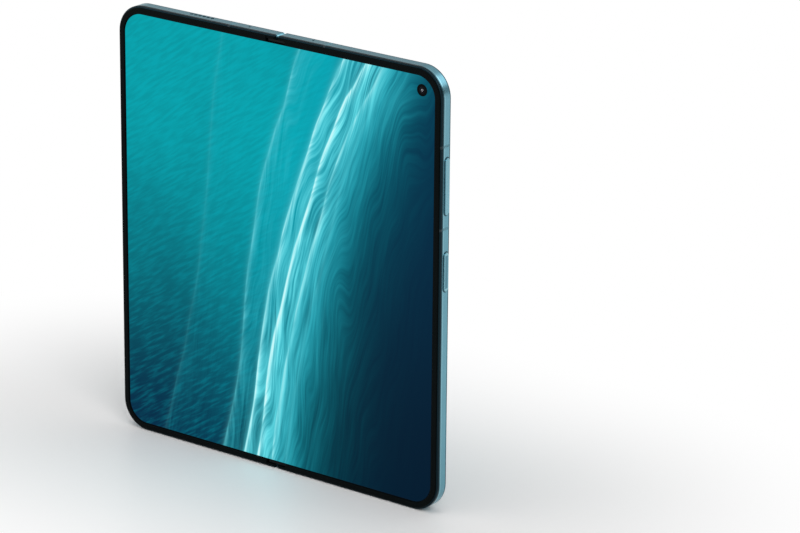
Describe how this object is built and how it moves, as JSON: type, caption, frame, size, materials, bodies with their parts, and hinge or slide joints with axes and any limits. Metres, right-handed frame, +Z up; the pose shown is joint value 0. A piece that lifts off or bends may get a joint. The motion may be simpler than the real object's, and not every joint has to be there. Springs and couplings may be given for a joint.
{
  "type": "foldable smartphone",
  "caption": "Book-style foldable smartphone, open flat: inner folding display, cover display, geared hinge spine, rear camera island, sprung keys and card tray.",
  "frame": {"origin": "bottom centre of the open phone, on the fold line, at mid-thickness", "axes": "+Z up along the height, the inner display faces -Y, +X from the fold line to the half with the keys and rear cameras"},
  "size_m": [0.1424, 0.0079, 0.16],
  "materials": {
    "frame_metal": "fine satin, anodised, polished edge grooves",
    "bezel_black": "satin",
    "display": "gloss, lit picture",
    "camera_black": "gloss",
    "back_glass": "frosted",
    "deck_metal": "satin",
    "ring_metal": "polished",
    "lens": "coated gloss",
    "flash": "milky",
    "module_black": "matte",
    "split_plastic": "matte",
    "key_metal": "satin",
    "sensor_metal": "satin",
    "switch_metal": "bare",
    "cell": "wrapped pouch",
    "board": "solder mask",
    "can_metal": "satin",
    "screw_metal": "satin",
    "coil_copper": "bare copper",
    "port_metal": "satin",
    "magnet": "plated",
    "hinge_steel": "satin",
    "cover_display": "gloss, lit picture",
    "panel_back": "matte",
    "spine_metal": "polished anodised",
    "gear_metal": "sintered",
    "pin_metal": "ground",
    "flex_film": "film"
  },
  "bodies": {
    "main_half": {"main_frame": "frame_metal", "main_bezel": "bezel_black", "inner_display_main": "display", "inner_camera": "camera_black", "main_back_glass": "back_glass", "camera_deck": "deck_metal", "lens_rings": "ring_metal", "lens_glasses": "lens", "flash_window": "flash", "rear_camera_modules": "module_black", "main_antenna_bands": "split_plastic", "key_switches": "switch_metal", "main_battery": "cell", "mainboard": "board", "shield_cans": "can_metal", "main_screws": "screw_metal", "charging_coil": "coil_copper", "usb_c_port": "port_metal", "loudspeaker": "module_black", "vibration_motor": "can_metal", "main_magnets": "magnet", "main_tongues": "hinge_steel"},
    "spine": {"spine_cover": "spine_metal", "spine_end_caps": "bezel_black", "hinge_brackets": "hinge_steel", "gear_pins": "pin_metal", "friction_washers": "hinge_steel", "inner_display_fold": "display", "hinge_flex": "flex_film"},
    "cover_half": {"cover_frame": "frame_metal", "cover_bezel": "bezel_black", "inner_display_cover": "display", "cover_glass": "cover_display", "cover_display_panel": "panel_back", "cover_camera": "camera_black", "cover_antenna_bands": "split_plastic", "cover_battery": "cell", "cover_board": "board", "cover_screws": "screw_metal", "earpiece_speaker": "module_black", "cover_magnets": "magnet", "cover_tongues": "hinge_steel", "sim_socket": "can_metal"},
    "volume_key": {"volume_rocker": "key_metal"},
    "power_key": {"power_key": "sensor_metal"},
    "sim_tray": {"sim_tray": "key_metal"},
    "arm_gear_main": {"arm_gear_main": "gear_metal"},
    "idler_gear_main": {"idler_gear_main": "gear_metal"},
    "idler_gear_cover": {"idler_gear_cover": "gear_metal"},
    "arm_gear_cover": {"arm_gear_cover": "gear_metal"}
  },
  "joints": [
    {"name": "main_fold", "type": "hinge", "parent": "main_half", "child": "spine", "pos_m": [0.00265, -0.0008, 0.08], "axis": [0, 0, 1], "range_deg": [0, 90], "deforming": ["inner_display_fold", "hinge_flex"]},
    {"name": "cover_fold", "type": "hinge", "parent": "spine", "child": "cover_half", "pos_m": [-0.00265, -0.0008, 0.08], "axis": [0, 0, 1], "range_deg": [0, 90]},
    {"name": "arm_main_turn", "type": "hinge", "parent": "spine", "child": "arm_gear_main", "pos_m": [0.00285, 0.00035, 0.08], "axis": [0, 0, 1], "range_deg": [-90, 0]},
    {"name": "idler_main_turn", "type": "hinge", "parent": "spine", "child": "idler_gear_main", "pos_m": [0.00095, 0.00035, 0.08], "axis": [0, 0, 1], "range_deg": [0, 90]},
    {"name": "idler_cover_turn", "type": "hinge", "parent": "spine", "child": "idler_gear_cover", "pos_m": [-0.00095, 0.00035, 0.08], "axis": [0, 0, 1], "range_deg": [-90, 0]},
    {"name": "arm_cover_turn", "type": "hinge", "parent": "spine", "child": "arm_gear_cover", "pos_m": [-0.00285, 0.00035, 0.08], "axis": [0, 0, 1], "range_deg": [0, 90]},
    {"name": "volume_press", "type": "slide", "parent": "main_half", "child": "volume_key", "axis": [-1, 0, 0], "range_m": [0, 0.0003], "stiffness_N_per_m": 3000},
    {"name": "power_press", "type": "slide", "parent": "main_half", "child": "power_key", "axis": [-1, 0, 0], "range_m": [0, 0.0003], "stiffness_N_per_m": 3000},
    {"name": "sim_tray_slide", "type": "slide", "parent": "cover_half", "child": "sim_tray", "axis": [-1, 0, 0], "range_m": [0, 0.02]}
  ],
  "couplings": [
    {"joint": "cover_fold", "follows": "main_fold", "ratio": 1},
    {"joint": "arm_main_turn", "follows": "main_fold", "ratio": -1},
    {"joint": "idler_main_turn", "follows": "main_fold", "ratio": 1},
    {"joint": "idler_cover_turn", "follows": "main_fold", "ratio": -1},
    {"joint": "arm_cover_turn", "follows": "main_fold", "ratio": 1}
  ]
}
